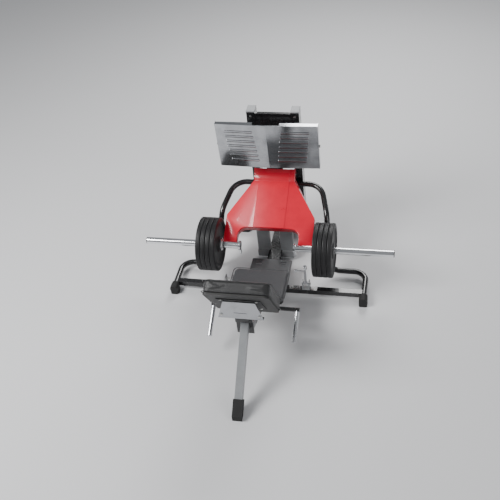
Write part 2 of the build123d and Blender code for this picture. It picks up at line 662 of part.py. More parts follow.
def make_foot_plate():
    plane = foot_plane()
    height = foot_plate_high - foot_plate_low
    up = 1 if plane.y_dir.Z > 0 else -1
    face_z = 36.0
    crease = 12.0
    outer_edge = (foot_plate_half, face_z - crease)

    def folded(z_shift, thickness):
        """The creased front sheet: a shallow ridge down the middle."""
        points = [(-outer_edge[0], outer_edge[1] + z_shift), (0, face_z + z_shift),
                  (outer_edge[0], outer_edge[1] + z_shift),
                  (outer_edge[0], outer_edge[1] + z_shift - thickness), (0, face_z + z_shift - thickness),
                  (-outer_edge[0], outer_edge[1] + z_shift - thickness)]
        base = Plane(origin=plane.origin, x_dir=(1, 0, 0), z_dir=plane.y_dir * up)
        flip = -1 if base.y_dir.dot(plane.z_dir) < 0 else 1
        section = Polygon(*[(x, flip * z) for x, z in points], align=None)
        return extrude(base * section, height / 2.0, both=True)

    sheet = folded(0, sheet_t)
    low_z = face_z - crease - sheet_t - 30
    side = plane * Pos(foot_plate_half - sheet_t / 2.0, 0, (low_z + outer_edge[1] - 1) / 2.0) * Box(
        sheet_t, height, outer_edge[1] - 1 - low_z)
    sheet += side + mirrored(side)
    for edge in (-1, 1):
        flange = plane * Pos(0, edge * (height / 2.0 - sheet_t / 2.0), 14) * Box(
            2 * foot_plate_half, sheet_t, 36)
        sheet += flange & folded(0, 80)
    notch = plane * Pos(0, up * (height / 2.0), 10) * Box(190, 26, 34)
    sheet -= notch
    ribs = []
    crease_angle = degrees(atan2(crease, foot_plate_half))
    for row in range(7):
        y_row = up * (128.0 - row * 41.0)
        for sign in (-1, 1):
            x_row = sign * (198.0 - row * 5.0)
            z_row = face_z - crease * abs(x_row) / foot_plate_half
            rib = Box(205, 13, 10)
            rib = fillet(rib.edges().filter_by(Axis.Z), 6)
            rib = fillet(rib.edges().group_by(Axis.Z)[-1], 3)
            ribs.append(plane * Pos(x_row, y_row, z_row - 1.0) * Rot(0, sign * crease_angle, 0) * rib)
    for rib in ribs:
        sheet += rib
    sheet -= rod_x(foot_axis_y, foot_axis_z, -500, 500, 8.05)
    send("foot_plate", sheet)

    stiff = []
    for edge in (-1, 1):
        bar = plane * Pos(0, edge * 120.0, 12) * Box(2 * (foot_plate_half - 60), 40, 4)
        stiff.append(bar)
    frame_bars = stiff[0] + stiff[1]
    for x in (-90, 90):
        frame_bars += plane * Pos(x, 0, 10) * Box(8, 280, 8)
    sector = plane * Pos(-90, up * 80.0, -22) * Box(8, 76, 60)
    frame_bars += sector
    for step in range(-6, 7):
        y_slot = foot_axis_y + slot_r * sin(radians(slot_angle + 2.2 * step))
        z_slot = foot_axis_z + slot_r * cos(radians(slot_angle + 2.2 * step))
        frame_bars -= rod_x(y_slot, z_slot, -100, -80, 7)
    send("foot_plate_frame", frame_bars)

    arm = block((post_x - 20, post_x + 20), (foot_axis_y + 52, post_front - 3),
                (foot_axis_z - 20, foot_axis_z + 20))
    arm -= block((post_x - 16, post_x + 16), (foot_axis_y + 56, post_front - 3),
                 (foot_axis_z - 16, foot_axis_z + 16))
    arms = arm + mirrored(arm)
    cross = block((-336, 336), (foot_axis_y + 22, foot_axis_y + 52), (foot_axis_z - 20, foot_axis_z + 20))
    ear = block((338, 346), (foot_axis_y, foot_axis_y + 52), (foot_axis_z - 17, foot_axis_z + 17))
    ear += rod_x(foot_axis_y, foot_axis_z, 338, 346, 17)
    ear += block((334, 346), (foot_axis_y + 22, foot_axis_y + 52), (foot_axis_z - 20, foot_axis_z + 20))
    ear -= rod_x(foot_axis_y, foot_axis_z, 300, 400, 8)
    send("foot_arm_frame", arms + cross + ear + mirrored(ear) + clamp_tab())
    bolt = rod_x(foot_axis_y, foot_axis_z, 336, foot_plate_half + 1, 8)
    bolt += rod_x(foot_axis_y, foot_axis_z, foot_plate_half + 0.5, foot_plate_half + 7, 13)
    send("foot_pivot_bolts", both(bolt))


def make_knob():
    y, z = clamp_point
    knob = rod_x(y, z, -96, -66, 5.95)
    knob += rod_x(y, z, -122, -96, 20)
    for turn in range(6):
        angle = radians(60.0 * turn)
        knob -= rod_x(y + 24 * cos(angle), z + 24 * sin(angle), -130, -95, 6)
    send("clamp_knob", knob)


crossbar_outer = make_base()
make_tower()
make_pivot()
make_lever()
make_plates()
make_clips()
make_stops()
make_lock()
make_seat(crossbar_outer)
make_tongue()
make_rear()
make_handles()
make_back_pad()
make_foot_plate()
make_knob()

send("frame_bolts", Compound(children=frame_bolts))

for node, shape in parts.items():
    export_step(shape, "parts/%s.step" % node)
print(len(parts), "nodes")
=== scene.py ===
# %% [markdown]
# # A plate-loaded hip thrust machine
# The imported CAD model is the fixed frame: every tube, shaft and bracket already sits where it belongs.
# This lesson dresses it. Upholstery is simulated, castings and covers are modelled again with soft
# edges, and every finish is a procedural material.

# %% Load the frame
import json
from math import atan2, cos, pi, radians, sin

import bmesh
import bpy
from mathutils import Matrix, Vector


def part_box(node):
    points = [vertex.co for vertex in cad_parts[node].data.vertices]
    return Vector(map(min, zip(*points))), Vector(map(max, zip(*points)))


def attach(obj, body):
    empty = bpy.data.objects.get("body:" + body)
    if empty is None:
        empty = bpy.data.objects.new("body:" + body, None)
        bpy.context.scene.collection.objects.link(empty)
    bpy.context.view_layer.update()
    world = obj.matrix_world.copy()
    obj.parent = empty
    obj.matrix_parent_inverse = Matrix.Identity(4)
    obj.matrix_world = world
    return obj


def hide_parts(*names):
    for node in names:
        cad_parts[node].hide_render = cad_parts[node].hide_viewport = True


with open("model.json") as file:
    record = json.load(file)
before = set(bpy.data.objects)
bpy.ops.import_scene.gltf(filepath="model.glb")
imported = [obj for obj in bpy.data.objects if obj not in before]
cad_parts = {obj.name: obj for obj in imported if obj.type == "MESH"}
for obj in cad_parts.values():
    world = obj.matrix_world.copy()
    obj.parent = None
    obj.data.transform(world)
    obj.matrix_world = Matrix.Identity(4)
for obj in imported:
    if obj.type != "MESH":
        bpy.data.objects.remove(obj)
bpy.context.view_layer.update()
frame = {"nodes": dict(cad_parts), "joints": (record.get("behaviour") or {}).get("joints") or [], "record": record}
slot_of = {part["node"]: part["material_slot"] for part in frame["record"]["subparts"]}

# %% [markdown]
# ## Helpers for new pieces
# A new piece is a bmesh that becomes one object at the origin, with its place in its mesh. Each piece
# rides on a CAD body, takes one finish and may stand for a CAD node.

# %% Piece helper
MM = 0.001
RIGHT = Vector((1, 0, 0))


def finish_piece(name, bm, body, material, stands_for=(), smooth=True):
    """Turns a bmesh in metres into a piece that rides on a body."""
    bmesh.ops.recalc_face_normals(bm, faces=bm.faces)
    for face in bm.faces:
        face.smooth = smooth
    mesh = bpy.data.meshes.new(name)
    bm.to_mesh(mesh)
    bm.free()
    piece = bpy.data.objects.new(name, mesh)
    bpy.context.scene.collection.objects.link(piece)
    mesh.materials.append(material)
    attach(piece, body)
    if stands_for:
        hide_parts(*stands_for)
    print("piece", name, len(mesh.polygons), "faces")
    return piece


def sharpen(piece, degrees=32):
    """Keeps creases crisp on a smooth-shaded piece."""
    bpy.context.view_layer.objects.active = piece
    piece.select_set(True)
    with bpy.context.temp_override(object=piece, active_object=piece, selected_editable_objects=[piece]):
        bpy.ops.object.shade_smooth_by_angle(angle=radians(degrees))
    piece.select_set(False)


def spin_profile(points, axis_point, along, segments):
    """A turned shape: (distance along the axis, radius) points spun once round the axis."""
    bm = bmesh.new()
    direction = Vector(along).normalized()
    side = direction.orthogonal().normalized()
    verts = [bm.verts.new(Vector(axis_point) + direction * a + side * r) for a, r in points]
    edges = [bm.edges.new(pair) for pair in zip(verts, verts[1:])]
    bmesh.ops.spin(bm, geom=verts + edges, cent=axis_point, axis=direction, angle=2 * pi,
                   steps=segments, use_merge=True)
    bmesh.ops.remove_doubles(bm, verts=bm.verts, dist=1e-6)
    return bm


# %% [markdown]
# ## Shared surface effects
# Real finishes are never one value all over. Four node groups give each material its variation: a
# fine grain, rubbed edges, brushing along one direction, and the pebble of vinyl. Each group gives out
# masks and heights only, and the shaders stay in the materials.

# %% Node group helper
def new_group(name, inputs, outputs):
    """A node group with float sockets, and its input and output nodes."""
    group = bpy.data.node_groups.new(name, "ShaderNodeTree")
    for label, value in inputs:
        socket = group.interface.new_socket(name=label, in_out="INPUT", socket_type="NodeSocketFloat")
        socket.default_value = value
    for label in outputs:
        group.interface.new_socket(name=label, in_out="OUTPUT", socket_type="NodeSocketFloat")
    return group, group.nodes.new("NodeGroupInput"), group.nodes.new("NodeGroupOutput")


def add(tree, kind, values=None, **settings):
    """A node with its settings and its unlinked input values."""
    node = tree.nodes.new(kind)
    for key, value in settings.items():
        setattr(node, key, value)
    for key, value in (values or {}).items():
        node.inputs[key].default_value = value
    return node


def scaled_coords(tree, scale):
    """Object coordinates, stretched along each axis."""
    coords = add(tree, "ShaderNodeTexCoord")
    mapping = add(tree, "ShaderNodeMapping", {"Scale": scale})
    tree.links.new(coords.outputs["Object"], mapping.inputs["Vector"])
    return mapping.outputs["Vector"]


# %% Grain: cloudy variation and fine tooth
def build_grain():
    group, enter, leave = new_group("grain", [("Scale", 60.0), ("Fine", 900.0)], ["Cloud", "Tooth"])
    where = scaled_coords(group, (1, 1, 1))
    cloud = add(group, "ShaderNodeTexNoise", {"Detail": 5.0, "Roughness": 0.62})
    tooth = add(group, "ShaderNodeTexNoise", {"Detail": 2.0})
    for node, label, out in ((cloud, "Scale", "Cloud"), (tooth, "Fine", "Tooth")):
        group.links.new(where, node.inputs["Vector"])
        group.links.new(enter.outputs[label], node.inputs["Scale"])
        group.links.new(node.outputs["Fac"], leave.inputs[out])
    return group


# %% Edge wear: where a rounded normal parts from the true one
def build_edge_wear():
    group, enter, leave = new_group("edge_wear", [("Radius", 0.002), ("Breakup", 140.0)], ["Mask"])
    bevel = add(group, "ShaderNodeBevel", samples=4)
    group.links.new(enter.outputs["Radius"], bevel.inputs["Radius"])
    geometry = add(group, "ShaderNodeNewGeometry")
    dot = add(group, "ShaderNodeVectorMath", operation="DOT_PRODUCT")
    group.links.new(bevel.outputs["Normal"], dot.inputs[0])
    group.links.new(geometry.outputs["Normal"], dot.inputs[1])
    noise = add(group, "ShaderNodeTexNoise", {"Detail": 4.0})
    group.links.new(scaled_coords(group, (1, 1, 1)), noise.inputs["Vector"])
    group.links.new(enter.outputs["Breakup"], noise.inputs["Scale"])
    lift = add(group, "ShaderNodeMath", {1: 0.10}, operation="MULTIPLY")
    group.links.new(noise.outputs["Fac"], lift.inputs[0])
    total = add(group, "ShaderNodeMath", operation="ADD")
    group.links.new(dot.outputs["Value"], total.inputs[0])
    group.links.new(lift.outputs[0], total.inputs[1])
    mask = add(group, "ShaderNodeMapRange", {"From Min": 1.01, "From Max": 0.86})
    group.links.new(total.outputs[0], mask.inputs["Value"])
    group.links.new(mask.outputs["Result"], leave.inputs["Mask"])
    return group


# %% Brushing: noise drawn out along X
def build_brushing():
    group, enter, leave = new_group("brushing", [("Scale", 1.0)], ["Lines"])
    scale = add(group, "ShaderNodeVectorMath", {0: (6.0, 900.0, 900.0)}, operation="SCALE")
    group.links.new(enter.outputs["Scale"], scale.inputs["Scale"])
    coords = add(group, "ShaderNodeTexCoord")
    stretch = add(group, "ShaderNodeVectorMath", operation="MULTIPLY")
    group.links.new(coords.outputs["Object"], stretch.inputs[0])
    group.links.new(scale.outputs["Vector"], stretch.inputs[1])
    noise = add(group, "ShaderNodeTexNoise", {"Scale": 1.0, "Detail": 3.0})
    group.links.new(stretch.outputs["Vector"], noise.inputs["Vector"])
    group.links.new(noise.outputs["Fac"], leave.inputs["Lines"])
    return group


# %% Pebble: the embossed grain of upholstery vinyl
def build_pebble():
    group, enter, leave = new_group("pebble", [("Scale", 420.0)], ["Height", "Crease"])
    where = scaled_coords(group, (1, 1, 1))
    cells = add(group, "ShaderNodeTexVoronoi", feature="DISTANCE_TO_EDGE")
    group.links.new(where, cells.inputs["Vector"])
    group.links.new(enter.outputs["Scale"], cells.inputs["Scale"])
    height = add(group, "ShaderNodeMapRange", {"From Max": 0.25}, interpolation_type="SMOOTHSTEP")
    group.links.new(cells.outputs["Distance"], height.inputs["Value"])
    folds = add(group, "ShaderNodeTexNoise", {"Scale": 22.0, "Detail": 6.0, "Distortion": 0.6})
    group.links.new(where, folds.inputs["Vector"])
    group.links.new(height.outputs["Result"], leave.inputs["Height"])
    group.links.new(folds.outputs["Fac"], leave.inputs["Crease"])
    return group


grain = build_grain()
edge_wear = build_edge_wear()
brushing = build_brushing()
pebble = build_pebble()
print("groups", [g.name for g in (grain, edge_wear, brushing, pebble)])

# %% [markdown]
# ## Finishes
# Every finish starts from one Principled shader. A helper links the grain to colour, roughness and
# bump, and the edge wear to a lighter rim, each with its own amounts.

# %% Material helper
def new_material(name, **values):
    """A material, its tree and its shader, with the shader's own constant numbers set."""
    material = bpy.data.materials.new(name)
    material.use_nodes = True
    tree = material.node_tree
    shader = tree.nodes["Principled BSDF"]
    for key, value in values.items():
        shader.inputs[key.replace("_", " ")].default_value = value
    return material, tree, shader


def use_group(tree, group, **values):
    """One use of a shared effect, with its own amounts."""
    node = add(tree, "ShaderNodeGroup", node_tree=group)
    for key, value in values.items():
        node.inputs[key].default_value = value
    return node


def mix_colour(tree, factor, first, second):
    """first where the factor is 0, second where it is 1; each is a colour or a socket."""
    mix = add(tree, "ShaderNodeMix", data_type="RGBA")
    tree.links.new(factor, mix.inputs[0])
    for index, colour in ((6, first), (7, second)):
        if isinstance(colour, tuple):
            mix.inputs[index].default_value = (*colour, 1.0)
        else:
            tree.links.new(colour, mix.inputs[index])
    return mix.outputs[2]


def map_value(tree, value, low, high, from_low=0.0, from_high=1.0):
    """Stretches a value's range from from_low..from_high to low..high."""
    node = add(tree, "ShaderNodeMapRange", {"From Min": from_low, "From Max": from_high,
                                            "To Min": low, "To Max": high})
    tree.links.new(value, node.inputs["Value"])
    return node.outputs["Result"]


def bump_from(tree, height, distance, strength, under=None):
    """A normal bumped by a height, over another bump where one is given."""
    bump = add(tree, "ShaderNodeBump", {"Strength": strength, "Distance": distance})
    tree.links.new(height, bump.inputs["Height"])
    if under is not None:
        tree.links.new(under, bump.inputs["Normal"])
    return bump.outputs["Normal"]


def painted(name, colour, worn, rough, coat, spread=0.06, peel=0.00012):
    """Powder or gloss paint: soft clouding, orange peel and rubbed edges."""
    material, tree, shader = new_material(name, Coat_Weight=coat, Coat_Roughness=0.06)
    shade = use_group(tree, grain, Scale=14.0, Fine=520.0)
    wear = use_group(tree, edge_wear, Radius=0.0016, Breakup=180.0)
    deep = tuple(c * (1.0 - spread * 3) for c in colour)
    body = mix_colour(tree, map_value(tree, shade.outputs["Cloud"], 0, 1, 0.3, 0.7), deep, colour)
    tree.links.new(mix_colour(tree, wear.outputs["Mask"], body, worn), shader.inputs["Base Color"])
    tree.links.new(map_value(tree, shade.outputs["Cloud"], rough - spread, rough + spread, 0.3, 0.7),
                   shader.inputs["Roughness"])
    tree.links.new(bump_from(tree, shade.outputs["Tooth"], peel, 0.5), shader.inputs["Normal"])
    return material


def bare_metal(name, colour, rough, lines=0.0, spread=0.05, dull=0.6):
    """Chrome or steel: smears of handling, and brushing where lines is above 0."""
    material, tree, shader = new_material(name, Metallic=1.0)
    shade = use_group(tree, grain, Scale=9.0, Fine=260.0)
    dark = tuple(c * dull for c in colour)
    cloud = map_value(tree, shade.outputs["Cloud"], 0, 1, 0.25, 0.55)
    tree.links.new(mix_colour(tree, cloud, dark, colour), shader.inputs["Base Color"])
    brushed = use_group(tree, brushing, Scale=1.0)
    base = map_value(tree, shade.outputs["Cloud"], rough + spread, rough, 0.3, 0.6)
    ripple = add(tree, "ShaderNodeMath", operation="ADD")
    tree.links.new(base, ripple.inputs[0])
    tree.links.new(map_value(tree, brushed.outputs["Lines"], -lines, lines), ripple.inputs[1])
    tree.links.new(ripple.outputs[0], shader.inputs["Roughness"])
    tree.links.new(bump_from(tree, brushed.outputs["Lines"], 0.00003 + lines * 0.0004, 0.4),
                   shader.inputs["Normal"])
    return material


def moulded(name, colour, rough, tooth=0.0002, fine=700.0):
    """Rubber or plastic: matt, with a fine tooth and a paler bloom on rubbed edges."""
    material, tree, shader = new_material(name)
    shade = use_group(tree, grain, Scale=24.0, Fine=fine)
    wear = use_group(tree, edge_wear, Radius=0.002, Breakup=120.0)
    pale = tuple(min(1.0, c * 1.9 + 0.02) for c in colour)
    body = mix_colour(tree, shade.outputs["Cloud"], tuple(c * 0.75 for c in colour), colour)
    tree.links.new(mix_colour(tree, wear.outputs["Mask"], body, pale), shader.inputs["Base Color"])
    tree.links.new(map_value(tree, shade.outputs["Cloud"], rough - 0.08, rough + 0.08, 0.3, 0.7),
                   shader.inputs["Roughness"])
    tree.links.new(bump_from(tree, shade.outputs["Tooth"], tooth, 0.7), shader.inputs["Normal"])
    return material


def vinyl(name, colour, sheen):
    """Upholstery vinyl: pebbled grain with painted shade in the pebbles' valleys, soft creases and a slight polish
    where bodies rub it.
    """
    material, tree, shader = new_material(name, Sheen_Weight=sheen, Sheen_Roughness=0.4)
    skin = use_group(tree, pebble, Scale=430.0)
    shade = use_group(tree, grain, Scale=7.0, Fine=300.0)
    # painted shade: the pebble height darkens the colour in the grain's valleys
    dark = tuple(c * 0.55 for c in colour)
    body = mix_colour(tree, skin.outputs["Height"], dark, colour)
    polish = map_value(tree, shade.outputs["Cloud"], 0.36, 0.56, 0.35, 0.65)
    tree.links.new(body, shader.inputs["Base Color"])
    tree.links.new(polish, shader.inputs["Roughness"])
    folds = bump_from(tree, skin.outputs["Crease"], 0.004, 0.22)
    tree.links.new(bump_from(tree, skin.outputs["Height"], 0.00035, 0.55, folds), shader.inputs["Normal"])
    return material


def stained_board(name):
    """Backing board: birch plywood stained black, with its long growth rings still showing."""
    material, tree, shader = new_material(name, Roughness=0.55)
    rings = add(tree, "ShaderNodeTexWave", {"Scale": 9.0, "Distortion": 7.0, "Detail": 3.0},
                wave_type="BANDS", bands_direction="Y")
    tree.links.new(scaled_coords(tree, (1, 4, 4)), rings.inputs["Vector"])
    tree.links.new(mix_colour(tree, rings.outputs["Fac"], (0.010, 0.010, 0.010), (0.026, 0.025, 0.024)),
                   shader.inputs["Base Color"])
    tree.links.new(bump_from(tree, rings.outputs["Fac"], 0.0003, 0.4), shader.inputs["Normal"])
    return material


# %% The machine's finishes, one for each slot
finishes = {
    "red_cover": painted("red_gloss", (0.86, 0.010, 0.038), (0.92, 0.12, 0.13), 0.30, 0.45, 0.03),
    "black_frame": painted("black_gloss", (0.010, 0.010, 0.011), (0.10, 0.10, 0.105), 0.26, 0.7),
    "grey_frame": painted("grey_satin", (0.30, 0.31, 0.32), (0.55, 0.56, 0.57), 0.38, 0.25),
    "grey_cover": painted("charcoal_satin", (0.085, 0.088, 0.092), (0.24, 0.24, 0.25), 0.42, 0.2),
    "chrome": bare_metal("polished_chrome", (0.88, 0.89, 0.91), 0.17, 0.02, 0.05, 0.86),
    "chrome_grip": bare_metal("grip_chrome", (0.80, 0.81, 0.83), 0.24, 0.05),
    "stainless": bare_metal("polished_stainless", (0.50, 0.51, 0.53), 0.12, 0.05, 0.05, 0.72),
    "zinc": bare_metal("zinc_plate", (0.62, 0.62, 0.60), 0.34, 0.05, 0.10),
    "rubber": moulded("black_rubber", (0.014, 0.014, 0.014), 0.72),
    "plate_iron": moulded("coated_iron", (0.016, 0.016, 0.017), 0.50, 0.0003, 480.0),
    "black_plastic": moulded("black_plastic", (0.02, 0.02, 0.02), 0.42),
    "grey_plastic": moulded("grey_plastic", (0.42, 0.43, 0.44), 0.45),
    "grey_vinyl": vinyl("grey_vinyl", (0.085, 0.087, 0.092), 0.10),
    "black_vinyl": vinyl("black_vinyl", (0.018, 0.018, 0.019), 0.12),
    "board": stained_board("black_birch"),
}
satin_black = painted("black_satin", (0.010, 0.010, 0.011), (0.06, 0.06, 0.06), 0.55, 0.0)
for node, carried in frame["nodes"].items():
    material = satin_black if node in ("pad_hinge_frame", "seat_frame") else finishes[slot_of[node]]
    if not carried.material_slots:
        carried.data.materials.append(material)
    for place in carried.material_slots:
        place.link = "OBJECT"
        place.material = material
print(len(finishes), "finishes on", len(frame["nodes"]), "nodes")

# %% [markdown]
# ## Where the lever lies
# The fork slopes up from the load bar to the neck, then turns up steeply to its pivot. Two small
# frames, one on the fork and one on the neck, let the cover be drawn flat and stood up in place.

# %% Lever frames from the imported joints
joints = {joint["name"]: joint for joint in frame["joints"]}
bar = Vector(joints["clip_right_swivel"]["pos_m"])
pivot = Vector(joints["lever_lift"]["pos_m"])
FORK_SLOPE = radians(27.7)
BEND_V = 0.516          # from the bar up the fork to the bend
fork_along = Vector((0, cos(FORK_SLOPE), sin(FORK_SLOPE)))
fork_up = Vector((0, -sin(FORK_SLOPE), cos(FORK_SLOPE)))
bend = bar + fork_along * BEND_V
neck_along = (pivot - bend).normalized()
neck_up = Vector((0, -neck_along.z, neck_along.y))


def on_fork(u, v, n):
    """A point across, along and above the fork, in millimetres, as a place in metres."""
    return bar + RIGHT * u * MM + fork_along * v * MM + fork_up * n * MM


def on_neck(u, v, n):
    """The same along and above the neck."""
    return bend + RIGHT * u * MM + neck_along * v * MM + neck_up * n * MM


print("neck turns", round((atan2(neck_along.z, neck_along.y) - FORK_SLOPE) * 180 / pi, 1), "degrees")

# %% [markdown]
# ## The red lever cover
# It is a pressed shell: a raised centre panel with a small step at each side, side panels that fall
# away to the shoulders, two legs, and an arch between them. A few vertices draw one half of the top.
# A mirror, an extruded skirt and a bevel make the rest, and Solidify gives the sheet its thickness.

# %% Cover piece
CREASE_U = 112.0        # millimetres from the middle to each crease
STEP_U = 116.0          # foot of the step beside each crease
SIDE_FALL = 0.085       # drop of the side panels for each millimetre across
CENTRE_N, STEP_N = 37.0, 33.0           # heights of the centre panel and of the step's foot
ARCH_V, KNEE_V, TIP_V = 136, 503.8, 19  # along the fork: the arch, the knee and the legs' tips
NECK_V = 103            # along the neck, the shell's top
NECK_U, LEG_IN_U, LEG_OUT_U = 151, 225, 324     # half-widths of the neck and of a leg's sides
SKIRT_DEPTH = 32 * MM   # how far the skirt reaches below the fork's own plane
FOLD_RADIUS = 1.8 * MM
SHEET = 3.5 * MM


def top_height(u):
    """The sheet's height over the fork: a raised middle, a small step, then sides that fall evenly."""
    if u <= CREASE_U:
        return CENTRE_N
    return STEP_N - (u - STEP_U) * SIDE_FALL


def cover_half(bm):
    """One half of the top skin, as flat panels that share their creases."""
    fork_spots = {
        "arch_mid": (0, ARCH_V), "arch_crease": (CREASE_U, ARCH_V), "arch_step": (STEP_U, ARCH_V),
        "arch_round": (164, ARCH_V), "arch_a": (187, 131.5), "arch_b": (207, 118), "arch_c": (220.5, 98),
        "leg_in": (LEG_IN_U, 75), "tip_in": (LEG_IN_U, TIP_V), "tip_out": (LEG_OUT_U, TIP_V),
        "shoulder": (LEG_OUT_U, 232), "knee_out": (NECK_U, KNEE_V + 6), "knee_step": (STEP_U, KNEE_V + 1),
        "knee_crease": (CREASE_U, KNEE_V), "knee_mid": (0, KNEE_V),
    }
    v = {name: bm.verts.new(on_fork(u, along, top_height(u))) for name, (u, along) in fork_spots.items()}
    for name, u in (("neck_out", NECK_U), ("neck_step", STEP_U), ("neck_crease", CREASE_U),
                    ("neck_mid", 0)):
        v[name] = bm.verts.new(on_neck(u, NECK_V, top_height(u)))
    panels = [("arch_mid", "arch_crease", "knee_crease", "knee_mid"),
              ("arch_crease", "arch_step", "knee_step", "knee_crease"),
              ("arch_step", "arch_round", "shoulder", "knee_out", "knee_step"),
              ("arch_round", "arch_a", "arch_b", "arch_c", "leg_in", "shoulder"),
              ("leg_in", "tip_in", "tip_out", "shoulder"),
              ("knee_mid", "knee_crease", "neck_crease", "neck_mid"),
              ("knee_crease", "knee_step", "neck_step", "neck_crease"),
              ("knee_step", "knee_out", "neck_out", "neck_step")]
    for panel in panels:
        bm.faces.new([v[name] for name in panel])


bm = bmesh.new()
cover_half(bm)
bmesh.ops.mirror(bm, geom=bm.verts[:] + bm.edges[:] + bm.faces[:], axis="X", merge_dist=1e-5)
bmesh.ops.remove_doubles(bm, verts=bm.verts, dist=1e-5)


def is_open_end(edge):
    """The shell has no wall at the neck's top or at the legs' tips."""
    at_tip = all((vert.co - bar).dot(fork_along) < (TIP_V + 2) * MM for vert in edge.verts)
    at_neck = all((vert.co - bend).dot(neck_along) > (NECK_V - 3) * MM for vert in edge.verts)
    return at_tip or at_neck


rim = [edge for edge in bm.edges if edge.is_boundary and not is_open_end(edge)]
skirt = bmesh.ops.extrude_edge_only(bm, edges=rim)["geom"]
for vert in (item for item in skirt if isinstance(item, bmesh.types.BMVert)):
    nearer_neck = (vert.co - bend).dot(neck_along) > 0.0
    down = neck_up if nearer_neck else fork_up
    level = (vert.co - (bend if nearer_neck else bar)).dot(down)
    vert.co -= down * (level + SKIRT_DEPTH)
bmesh.ops.recalc_face_normals(bm, faces=bm.faces)
folds = [edge for edge in bm.edges if len(edge.link_faces) == 2 and edge.calc_face_angle() > radians(7)]
bmesh.ops.bevel(bm, geom=folds, offset=FOLD_RADIUS, segments=3, profile=0.5, affect="EDGES", material=-1)
cover = finish_piece("lever_shell", bm, "lever", finishes["red_cover"], ["lever_cover"])
if sum(face.normal.dot(fork_up) * face.area for face in cover.data.polygons) < 0:
    cover.data.flip_normals()
wall = cover.modifiers.new("sheet", "SOLIDIFY")
wall.thickness = SHEET
wall.offset = -1.0
sharpen(cover, 40)

# %% [markdown]
# ## Weight plates
# Rubber-coated discs with a rounded, grooved rim, a dished web and a raised hub.
# A turned profile spun round the bar's axis gives all of that in one step.

# %% Plate pieces
def plate_profile(thick, bore, radius):
    """(distance, radius) points across one plate, from the bore out and back."""
    mid = thick / 2
    web = 9 * MM
    bead = web - 2 * MM
    half = [(mid, bore), (mid, bore + 26 * MM), (mid - 3 * MM, bore + 31 * MM),
            (mid - web, bore + 36 * MM), (mid - web, radius - 62 * MM), (mid - bead, radius - 58 * MM),
            (mid - bead, radius - 50 * MM), (mid - web, radius - 46 * MM), (mid - web, radius - 40 * MM),
            (mid - 1 * MM, radius - 32 * MM), (mid, radius - 29 * MM), (mid, radius - 7 * MM),
            (mid - 2 * MM, radius - 2 * MM), (mid - 5 * MM, radius)]
    groove = [(8 * MM, radius), (7 * MM, radius - 3 * MM), (4 * MM, radius - 3 * MM), (3 * MM, radius)]
    right = half + groove
    left = [(-a, r) for a, r in reversed(right)]
    return right + left + [right[0]]


PLATE_BORE = 25.6 * MM
for node in sorted(n for n in frame["nodes"] if n.startswith("weight_plate")):
    low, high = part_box(node)
    thick = high[0] - low[0]
    middle = Vector(((low[0] + high[0]) / 2, bar.y, bar.z))
    bm = spin_profile(plate_profile(thick, PLATE_BORE, (high[2] - low[2]) / 2), middle, RIGHT, 96)
    side = "right" if middle.x > 0 else "left"
    disc = finish_piece(node.replace("weight_plate", "disc"), bm, "plates_" + side,
                        finishes["plate_iron"], [node])
    sharpen(disc, 35)

# %% [markdown]
# ## Painted louvre shade and weld beads
# Under each pressed louvre of the foot plate lies a thin near-black bar, the shade in the louvre's slot
# painted in as a part. A rippled weld bead runs round each sleeve where it leaves the fork: small circles
# set round the sleeve, every second one a little smaller, and bridged into a closed ring.

# %% Painted louvre shade
FACE, CREASE_DEPTH, PLATE_HALF = 36.0, 12.0, 358.0      # the plate's face, its fold and half its width
ROWS, ROW_TOP, ROW_STEP = 7, 128.0, 41.0
ROW_X, ROW_SHIFT = 198.0, 5.0           # middle of the top slot, and how each next one steps inward
SLOT_DROP = 9.0         # from a louvre's middle down to its slot
SLOT_SIZE = (196 * MM, 5 * MM, 1.2 * MM)
PLATE_LEAN = radians(4.5)
plate_pivot = Vector(joints["foot_plate_tilt"]["pos_m"])
plate_up = Vector((0, -sin(PLATE_LEAN), cos(PLATE_LEAN)))
plate_out = Vector((0, -cos(PLATE_LEAN), -sin(PLATE_LEAN)))
plate_axes = Matrix((RIGHT, plate_up, plate_out)).transposed().to_4x4()
# near-black bars that paint the shade inside the louvres' slots; they stand for no real part
painted_slot_shade = moulded("slot_shadow", (0.008, 0.008, 0.008), 0.85)

bm = bmesh.new()
for row in range(ROWS):
    for side in (-1, 1):
        across = side * (ROW_X - ROW_SHIFT * row)
        depth = FACE - CREASE_DEPTH * abs(across) / PLATE_HALF
        height = ROW_TOP - ROW_STEP * row - SLOT_DROP
        spot = plate_pivot + RIGHT * across * MM + plate_up * height * MM + plate_out * depth * MM
        swing = Matrix.Rotation(side * CREASE_DEPTH / PLATE_HALF, 4, plate_up)
        slot_verts = bmesh.ops.create_cube(bm, size=1.0)["verts"]
        bmesh.ops.scale(bm, vec=SLOT_SIZE, verts=slot_verts)
        bmesh.ops.transform(bm, matrix=Matrix.Translation(spot) @ swing @ plate_axes, verts=slot_verts)
finish_piece("louvre_slot_shade", bm, "foot_plate", painted_slot_shade, smooth=False)


# %% Weld beads
WELD_X = 329 * MM
WELD_RADIUS = 25.5 * MM
WELD_BEAD = 3.5 * MM
RIPPLES = 40


def weld_ring(bm, centre, axis):
    """A rippled bead round an axis."""
    side = axis.orthogonal().normalized()
    around = axis.cross(side)
    loops = []
    for step in range(RIPPLES * 2):
        turn = 2 * pi * step / (RIPPLES * 2)
        out = side * cos(turn) + around * sin(turn)
        size = WELD_BEAD * (1.0 if step % 2 else 0.78)
        place = Matrix.Translation(centre + out * WELD_RADIUS)
        place = place @ Matrix((out, axis, out.cross(axis))).transposed().to_4x4()
        ring = bmesh.ops.create_circle(bm, segments=8, radius=size, matrix=place)["verts"]
        loops.append(list({edge for vert in ring for edge in vert.link_edges}))
    for one, other in zip(loops, loops[1:] + loops[:1]):
        bmesh.ops.bridge_loops(bm, edges=one + other)


